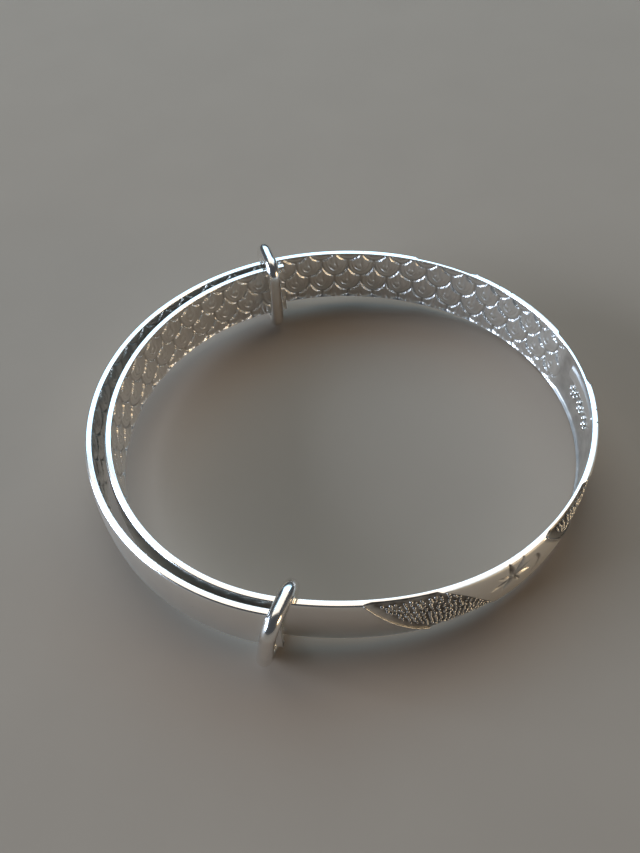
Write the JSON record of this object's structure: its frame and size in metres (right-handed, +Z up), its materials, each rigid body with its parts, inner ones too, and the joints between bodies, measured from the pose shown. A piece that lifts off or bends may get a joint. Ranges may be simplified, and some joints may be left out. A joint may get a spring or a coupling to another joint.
{
  "type": "bangle bracelet",
  "caption": "Expandable bangle: a flat silver strip wound one and a half times, each end held to the other layer by a wire ring.",
  "frame": {"origin": "on the bangle's axis, level with the lowest points of the two rings", "axes": "+Z up along the bangle's axis, +X towards the decorated middle of the strip, the two rings towards -X"},
  "size_m": [0.063, 0.0597, 0.0126],
  "materials": {
    "strip": "polished silver, engraved outside and embossed inside",
    "ring_wire": "polished silver wire"
  },
  "bodies": {
    "middle": {"strip_middle": "strip"},
    "outer_1": {"strip_outer_1": "strip"},
    "outer_2": {"strip_outer_2": "strip"},
    "outer_3": {"strip_outer_3": "strip"},
    "outer_4": {"strip_outer_4": "strip"},
    "outer_5": {"strip_outer_5": "strip"},
    "outer_6": {"strip_outer_6": "strip", "front_ring": "ring_wire"},
    "inner_1": {"strip_inner_1": "strip"},
    "inner_2": {"strip_inner_2": "strip"},
    "inner_3": {"strip_inner_3": "strip"},
    "inner_4": {"strip_inner_4": "strip"},
    "inner_5": {"strip_inner_5": "strip"},
    "inner_6": {"strip_inner_6": "strip", "back_ring": "ring_wire"}
  },
  "joints": [
    {"name": "flex_outer_1", "type": "hinge", "parent": "middle", "child": "outer_1", "pos_m": [0.02916, 0.0112, 0.0063], "axis": [0, 0, -1], "range_deg": [-1.5, 6]},
    {"name": "flex_outer_2", "type": "hinge", "parent": "outer_1", "child": "outer_2", "pos_m": [0.01469, 0.02569, 0.0063], "axis": [0, 0, -1], "range_deg": [-0.45, 1.8]},
    {"name": "flex_outer_3", "type": "hinge", "parent": "outer_2", "child": "outer_3", "pos_m": [-0.00456, 0.0282, 0.0063], "axis": [0, 0, -1], "range_deg": [-0.49, 1.98]},
    {"name": "flex_outer_4", "type": "hinge", "parent": "outer_3", "child": "outer_4", "pos_m": [-0.02211, 0.0199, 0.0063], "axis": [0, 0, -1], "range_deg": [-0.92, 3.66]},
    {"name": "flex_outer_5", "type": "hinge", "parent": "outer_4", "child": "outer_5", "pos_m": [-0.03095, 0.00157, 0.0063], "axis": [0, 0, -1], "range_deg": [-1.54, 6.18]},
    {"name": "flex_outer_6", "type": "hinge", "parent": "outer_5", "child": "outer_6", "pos_m": [-0.02426, -0.01804, 0.0063], "axis": [0, 0, -1], "range_deg": [-1.7, 6.78]},
    {"name": "flex_inner_1", "type": "hinge", "parent": "middle", "child": "inner_1", "pos_m": [0.02848, -0.00936, 0.0063], "axis": [0, 0, 1], "range_deg": [-0.78, 3.12]},
    {"name": "flex_inner_2", "type": "hinge", "parent": "inner_1", "child": "inner_2", "pos_m": [0.01459, -0.02298, 0.0063], "axis": [0, 0, 1], "range_deg": [-0.72, 2.88]},
    {"name": "flex_inner_3", "type": "hinge", "parent": "inner_2", "child": "inner_3", "pos_m": [-0.00343, -0.02592, 0.0063], "axis": [0, 0, 1], "range_deg": [-1.05, 4.2]},
    {"name": "flex_inner_4", "type": "hinge", "parent": "inner_3", "child": "inner_4", "pos_m": [-0.0205, -0.01915, 0.0063], "axis": [0, 0, 1], "range_deg": [-1.02, 4.08]},
    {"name": "flex_inner_5", "type": "hinge", "parent": "inner_4", "child": "inner_5", "pos_m": [-0.02861, -0.00211, 0.0063], "axis": [0, 0, 1], "range_deg": [-1.2, 4.8]},
    {"name": "flex_inner_6", "type": "hinge", "parent": "inner_5", "child": "inner_6", "pos_m": [-0.0233, 0.01577, 0.0063], "axis": [0, 0, 1], "range_deg": [-1.27, 5.1]}
  ],
  "couplings": [
    {"joint": "flex_outer_2", "follows": "flex_outer_1", "ratio": 0.3},
    {"joint": "flex_outer_3", "follows": "flex_outer_1", "ratio": 0.33},
    {"joint": "flex_outer_4", "follows": "flex_outer_1", "ratio": 0.61},
    {"joint": "flex_outer_5", "follows": "flex_outer_1", "ratio": 1.03},
    {"joint": "flex_outer_6", "follows": "flex_outer_1", "ratio": 1.13},
    {"joint": "flex_inner_1", "follows": "flex_outer_1", "ratio": 0.52},
    {"joint": "flex_inner_2", "follows": "flex_outer_1", "ratio": 0.48},
    {"joint": "flex_inner_3", "follows": "flex_outer_1", "ratio": 0.7},
    {"joint": "flex_inner_4", "follows": "flex_outer_1", "ratio": 0.68},
    {"joint": "flex_inner_5", "follows": "flex_outer_1", "ratio": 0.8},
    {"joint": "flex_inner_6", "follows": "flex_outer_1", "ratio": 0.85}
  ]
}
